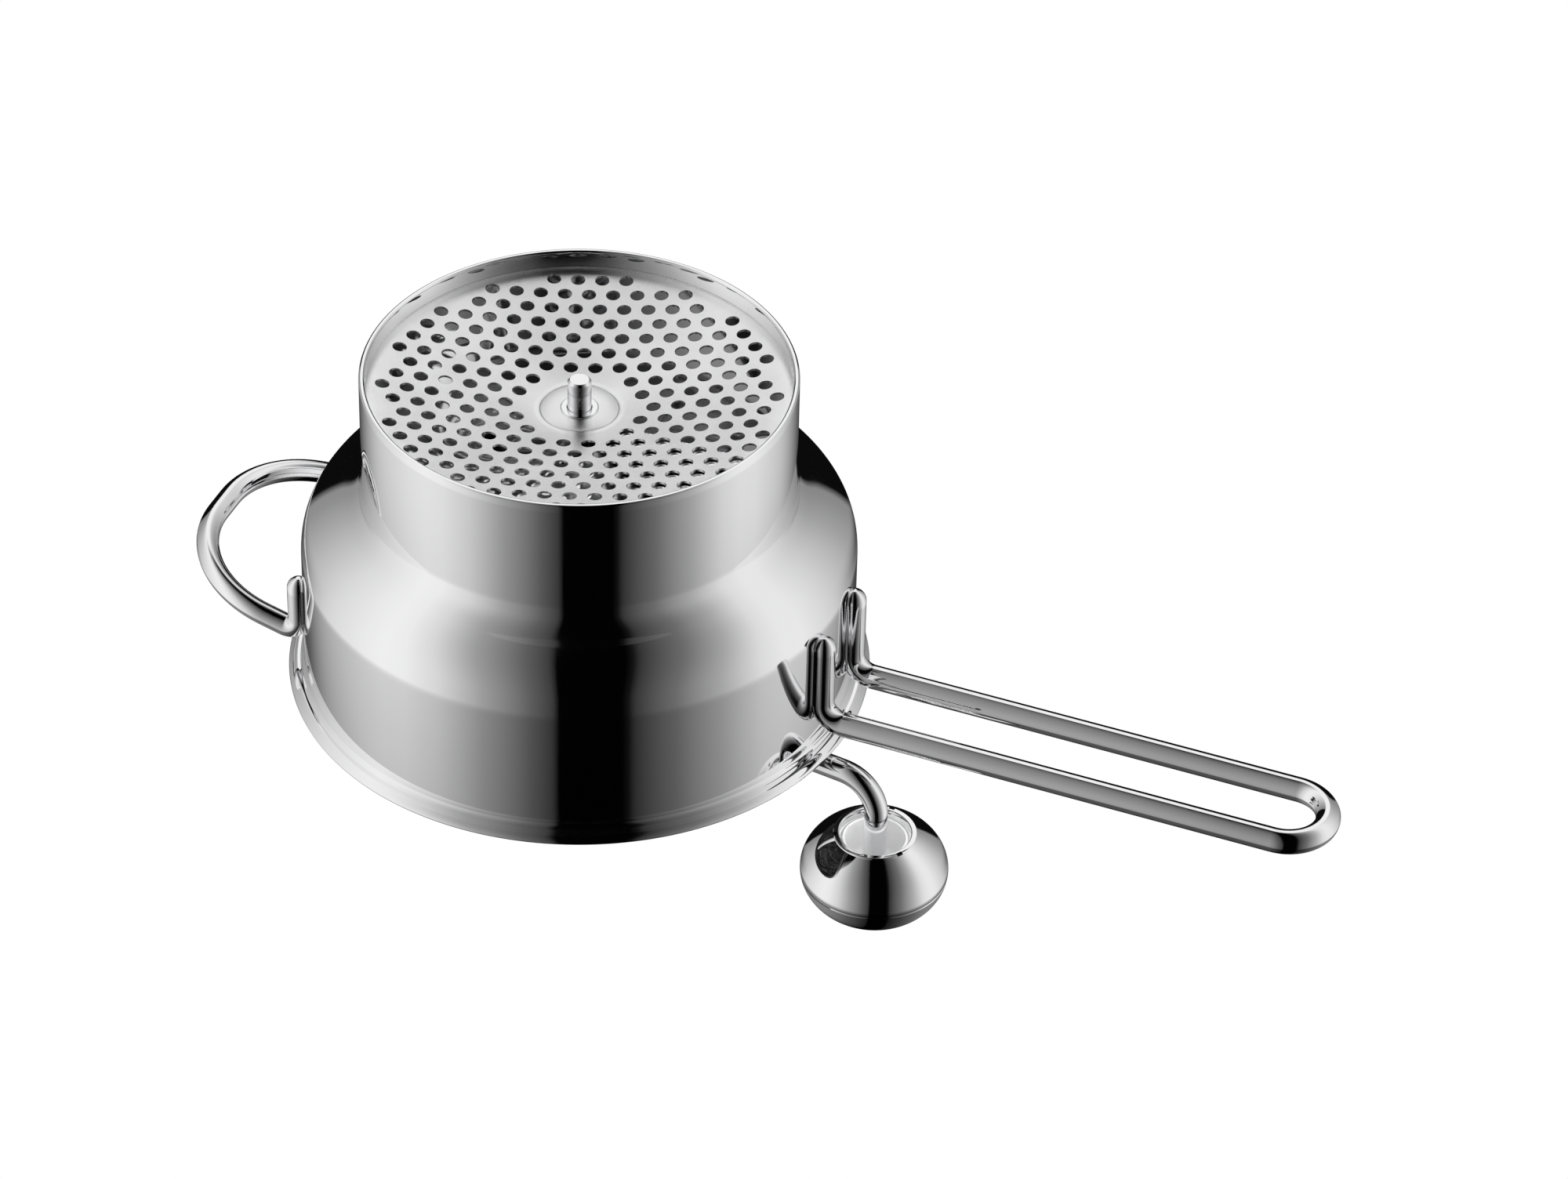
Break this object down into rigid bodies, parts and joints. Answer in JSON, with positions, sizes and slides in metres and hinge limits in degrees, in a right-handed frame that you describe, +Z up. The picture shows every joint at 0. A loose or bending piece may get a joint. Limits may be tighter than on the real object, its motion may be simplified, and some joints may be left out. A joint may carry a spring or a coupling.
{
  "type": "rotary food mill",
  "caption": "Hand-cranked food mill: stepped bowl with a perforated domed disc in its neck, a spring-pressed blade, a crank with a round knob, a long loop handle and a short helper loop.",
  "frame": {"origin": "centre of the flat lip of the neck, the ring the mill stands on, with the mouth up", "axes": "+Z up along the crank shaft, +X along the long handle, +Y completes the right-handed set"},
  "size_m": [0.4118, 0.2, 0.1819],
  "materials": {
    "mirror_steel": "mirror-polished stainless steel",
    "satin_steel": "satin stainless steel",
    "spring_steel": "drawn steel wire and hardened small parts",
    "white_plastic": "smooth white plastic"
  },
  "bodies": {
    "bowl": {"bowl_shell": "mirror_steel", "sieve_disc": "satin_steel", "disc_bush": "mirror_steel", "long_handle": "mirror_steel", "helper_handle": "mirror_steel", "bar_lugs": "satin_steel"},
    "bar": {"crossbar": "satin_steel", "bar_bushing": "mirror_steel", "bushing_ring": "spring_steel", "upper_spring_seat": "mirror_steel", "pressure_spring": "spring_steel"},
    "lifter": {"thrust_washer": "mirror_steel"},
    "crank": {"crank_rod": "mirror_steel", "travel_collar": "mirror_steel", "collar_screw": "spring_steel", "blade_hub": "mirror_steel", "hub_pin": "spring_steel", "press_blade": "mirror_steel", "knob_retainer": "spring_steel"},
    "knob": {"knob_lower_shell": "mirror_steel", "knob_upper_shell": "mirror_steel", "knob_ring": "mirror_steel", "knob_insert": "white_plastic"}
  },
  "joints": [
    {"name": "bar_twist", "type": "hinge", "parent": "bowl", "child": "bar", "pos_m": [0, 0, 0.093], "axis": [0, 0, 1], "range_deg": [-32, 0]},
    {"name": "blade_lift", "type": "slide", "parent": "bar", "child": "lifter", "axis": [0, 0, 1], "range_m": [0, 0.005], "stiffness_N_per_m": 900, "springref_m": -0.01, "deforming": ["pressure_spring"]},
    {"name": "crank_spin", "type": "hinge", "parent": "lifter", "child": "crank", "pos_m": [0, 0, 0.06], "axis": [0, 0, 1], "continuous": true},
    {"name": "knob_spin", "type": "hinge", "parent": "crank", "child": "knob", "pos_m": [0.11646, 0.01637, 0.165], "axis": [0, 0, 1], "continuous": true}
  ]
}
